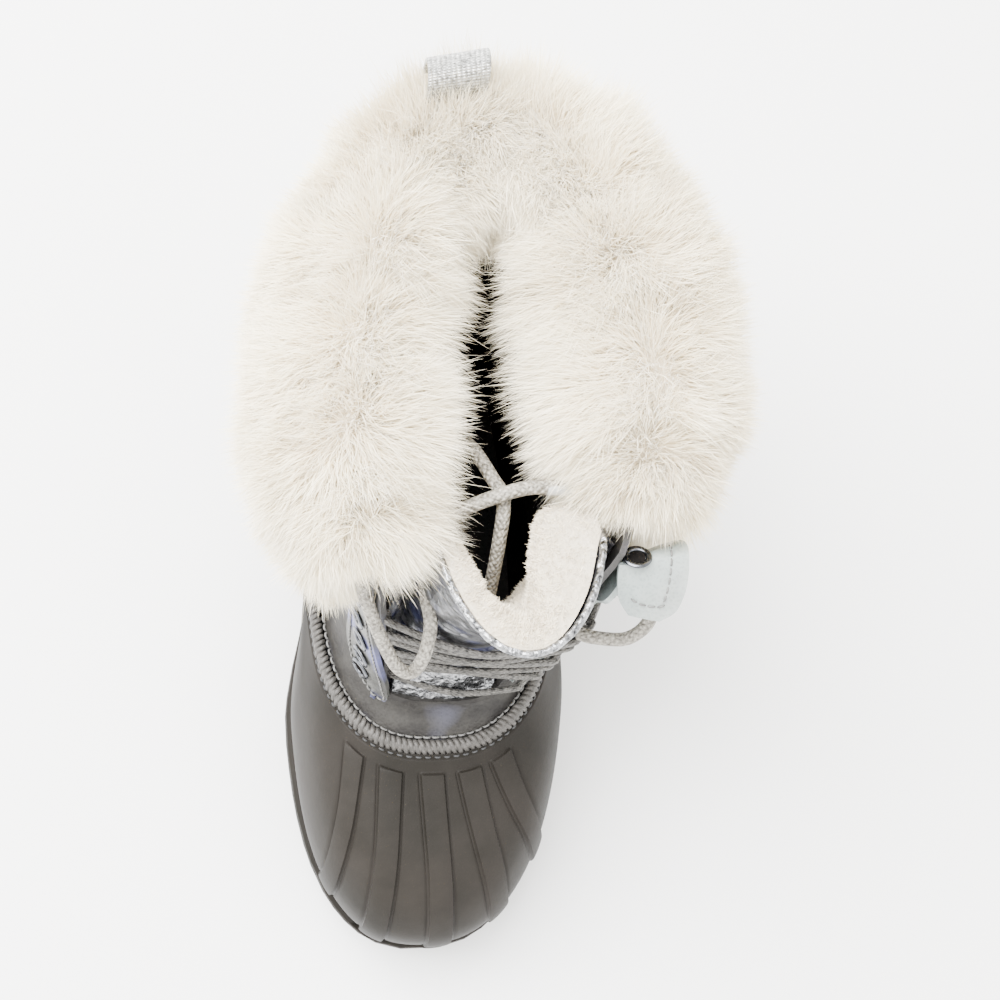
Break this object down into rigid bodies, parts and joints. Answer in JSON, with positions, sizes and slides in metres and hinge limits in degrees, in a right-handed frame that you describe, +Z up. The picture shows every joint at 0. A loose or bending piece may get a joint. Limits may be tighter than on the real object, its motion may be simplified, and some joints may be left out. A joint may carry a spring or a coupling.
{
  "type": "duck boot",
  "caption": "Child's left duck boot with a ribbed rubber shell, lugged sole, silver lace-up shaft, padded tongue and a deep fur cuff.",
  "frame": {"origin": "on the floor, below the middle of the boot's bounding box", "axes": "+Z up, +Y towards the heel, +X towards the outer (lateral) side of a left foot"},
  "size_m": [0.1346, 0.223, 0.2051],
  "materials": {
    "outsole": "matte",
    "shell": "matte",
    "shell_binding": "metallic thread",
    "upper": "metallic",
    "eyestay_outer": "metallic",
    "eyestay_inner": "metallic",
    "tongue": "metallic",
    "insole": "felt",
    "cuff": "long pile",
    "pull_loop": "metallic webbing",
    "eyelet_outer_0": "dark nickel",
    "eyelet_outer_1": "dark nickel",
    "eyelet_outer_2": "dark nickel",
    "eyelet_outer_3": "dark nickel",
    "eyelet_outer_4": "dark nickel",
    "eyelet_inner_0": "dark nickel",
    "eyelet_inner_1": "dark nickel",
    "eyelet_inner_2": "dark nickel",
    "eyelet_inner_3": "dark nickel",
    "eyelet_inner_4": "dark nickel",
    "lace_bar": "woven cord",
    "lace_cross_0": "woven cord",
    "lace_cross_1": "woven cord",
    "lace_cross_2": "woven cord",
    "lace_loop_inner": "woven cord",
    "lace_loop_outer": "woven cord",
    "lace_tail_inner": "woven cord",
    "lace_tail_outer": "woven cord"
  },
  "bodies": {
    "root": {"outsole": "outsole", "shell": "shell", "shell_binding": "shell_binding", "upper": "upper", "eyestay_outer": "eyestay_outer", "eyestay_inner": "eyestay_inner", "tongue": "tongue", "insole": "insole", "cuff": "cuff", "pull_loop": "pull_loop", "eyelet_outer_0": "eyelet_outer_0", "eyelet_outer_1": "eyelet_outer_1", "eyelet_outer_2": "eyelet_outer_2", "eyelet_outer_3": "eyelet_outer_3", "eyelet_outer_4": "eyelet_outer_4", "eyelet_inner_0": "eyelet_inner_0", "eyelet_inner_1": "eyelet_inner_1", "eyelet_inner_2": "eyelet_inner_2", "eyelet_inner_3": "eyelet_inner_3", "eyelet_inner_4": "eyelet_inner_4", "lace_bar": "lace_bar", "lace_cross_0": "lace_cross_0", "lace_cross_1": "lace_cross_1", "lace_cross_2": "lace_cross_2", "lace_loop_inner": "lace_loop_inner", "lace_loop_outer": "lace_loop_outer", "lace_tail_inner": "lace_tail_inner", "lace_tail_outer": "lace_tail_outer"}
  },
  "joints": []
}
